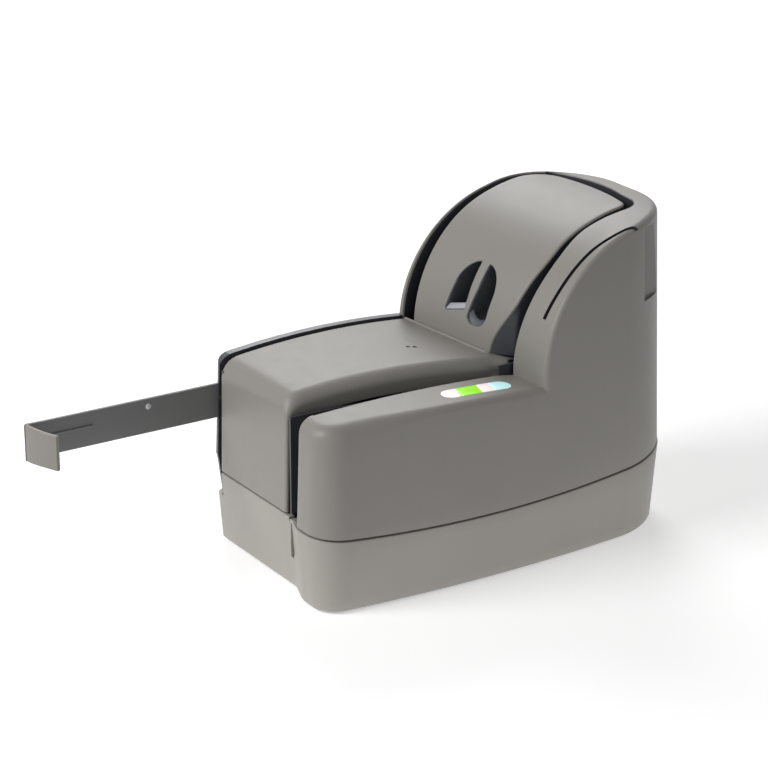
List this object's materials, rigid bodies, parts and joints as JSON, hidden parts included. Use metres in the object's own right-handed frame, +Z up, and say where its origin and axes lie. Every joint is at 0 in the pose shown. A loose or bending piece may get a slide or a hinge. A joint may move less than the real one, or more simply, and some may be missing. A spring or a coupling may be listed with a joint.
{
  "type": "cheque scanner",
  "caption": "Desktop single-feed cheque scanner: low front fender, U shaped track, turning tower cover with finger pockets, pull-out exit arm.",
  "frame": {"origin": "on the table under the middle of the underside", "axes": "+X right along the casing to the tower end, -Y to the user, +Z up"},
  "size_m": [0.3715, 0.1389, 0.192],
  "materials": {
    "casing": "fine satin grain",
    "base": "fine satin grain",
    "dark_plastic": "smooth matt",
    "rubber": "matt",
    "steel": "plain",
    "window_white": "lit window",
    "window_green": "lit window",
    "board": "lacquered board",
    "black_plastic": "matt",
    "pulley_metal": "turned",
    "bush_brass": "turned",
    "roller_plastic": "smooth",
    "sensor_glass": "clear",
    "cradle_plastic": "matt"
  },
  "bodies": {
    "casing": {"base_housing": "base", "bottom_plate": "dark_plastic", "rubber_feet": "rubber", "bottom_screws": "steel", "outer_shell": "casing", "deck_cover": "casing", "cover_hinge_rod": "steel", "cover_catch_spring": "steel", "hinge_bracket": "steel", "inner_guide": "dark_plastic", "outer_guide": "dark_plastic", "track_floor": "dark_plastic", "exit_guide": "dark_plastic", "arm_detent_spring": "steel", "status_window": "window_white", "status_window_green": "window_green", "light_board": "board", "chassis_plate": "steel", "top_frame": "steel", "frame_posts": "steel", "frame_screws": "steel", "main_board": "board", "board_parts": "black_plastic", "usb_socket": "steel", "power_socket": "black_plastic", "drive_motor": "black_plastic", "drive_belt": "rubber", "shaft_bushes": "bush_brass", "pinch_springs": "steel", "pressure_springs": "steel", "magnetiser": "black_plastic", "read_head": "steel", "front_image_sensor": "black_plastic", "rear_image_sensor": "black_plastic", "sensor_glasses": "sensor_glass", "ink_cartridge": "black_plastic", "cartridge_cradle": "cradle_plastic", "document_sensors": "black_plastic"},
    "cover": {"tower_cover": "casing", "finger_pockets": "dark_plastic"},
    "arm": {"exit_arm": "casing", "arm_rivet": "steel"},
    "motor_rotor": {"motor_pulley": "pulley_metal"},
    "feed_1": {"feed_shaft_1": "steel", "feed_tyres_1": "rubber"},
    "feed_2": {"feed_shaft_2": "steel", "feed_tyres_2": "rubber"},
    "feed_3": {"feed_shaft_3": "steel", "feed_tyres_3": "rubber"},
    "feed_4": {"feed_shaft_4": "steel", "feed_tyres_4": "rubber"},
    "feed_5": {"feed_shaft_5": "steel", "feed_tyres_5": "rubber"},
    "pinch_1": {"pinch_roller_1": "roller_plastic"},
    "pinch_2": {"pinch_roller_2": "roller_plastic"}
  },
  "joints": [
    {"name": "cover_hinge", "type": "hinge", "parent": "casing", "child": "cover", "pos_m": [0.095, 0, 0.186], "axis": [0, 1, 0], "range_deg": [0, 65]},
    {"name": "arm_slide", "type": "slide", "parent": "casing", "child": "arm", "axis": [1, 0, 0], "range_m": [0, 0.103]},
    {"name": "feed_1_spin", "type": "hinge", "parent": "casing", "child": "feed_1", "pos_m": [0.024, -0.02835, 0.05], "axis": [0, 0, 1], "continuous": true},
    {"name": "feed_2_spin", "type": "hinge", "parent": "casing", "child": "feed_2", "pos_m": [0.066, -0.02835, 0.05], "axis": [0, 0, 1], "continuous": true},
    {"name": "feed_3_spin", "type": "hinge", "parent": "casing", "child": "feed_3", "pos_m": [0.1106, 0.00925, 0.05], "axis": [0, 0, 1], "continuous": true},
    {"name": "feed_4_spin", "type": "hinge", "parent": "casing", "child": "feed_4", "pos_m": [0.038, 0.04685, 0.05], "axis": [0, 0, 1], "continuous": true},
    {"name": "feed_5_spin", "type": "hinge", "parent": "casing", "child": "feed_5", "pos_m": [-0.06, 0.04685, 0.05], "axis": [0, 0, 1], "continuous": true},
    {"name": "motor_spin", "type": "hinge", "parent": "casing", "child": "motor_rotor", "pos_m": [-0.026, 0.002, 0.05], "axis": [0, 0, 1], "continuous": true},
    {"name": "pinch_1_spin", "type": "hinge", "parent": "casing", "child": "pinch_1", "pos_m": [0.024, -0.04365, 0.05], "axis": [0, 0, 1], "continuous": true},
    {"name": "pinch_2_spin", "type": "hinge", "parent": "casing", "child": "pinch_2", "pos_m": [0.066, -0.04365, 0.05], "axis": [0, 0, 1], "continuous": true}
  ],
  "couplings": [
    {"joint": "feed_2_spin", "follows": "feed_1_spin", "ratio": 1},
    {"joint": "feed_3_spin", "follows": "feed_1_spin", "ratio": 1},
    {"joint": "feed_4_spin", "follows": "feed_1_spin", "ratio": 1},
    {"joint": "feed_5_spin", "follows": "feed_1_spin", "ratio": 1},
    {"joint": "motor_spin", "follows": "feed_1_spin", "ratio": 1.5},
    {"joint": "pinch_1_spin", "follows": "feed_1_spin", "ratio": -1.5},
    {"joint": "pinch_2_spin", "follows": "feed_1_spin", "ratio": -1.5}
  ]
}
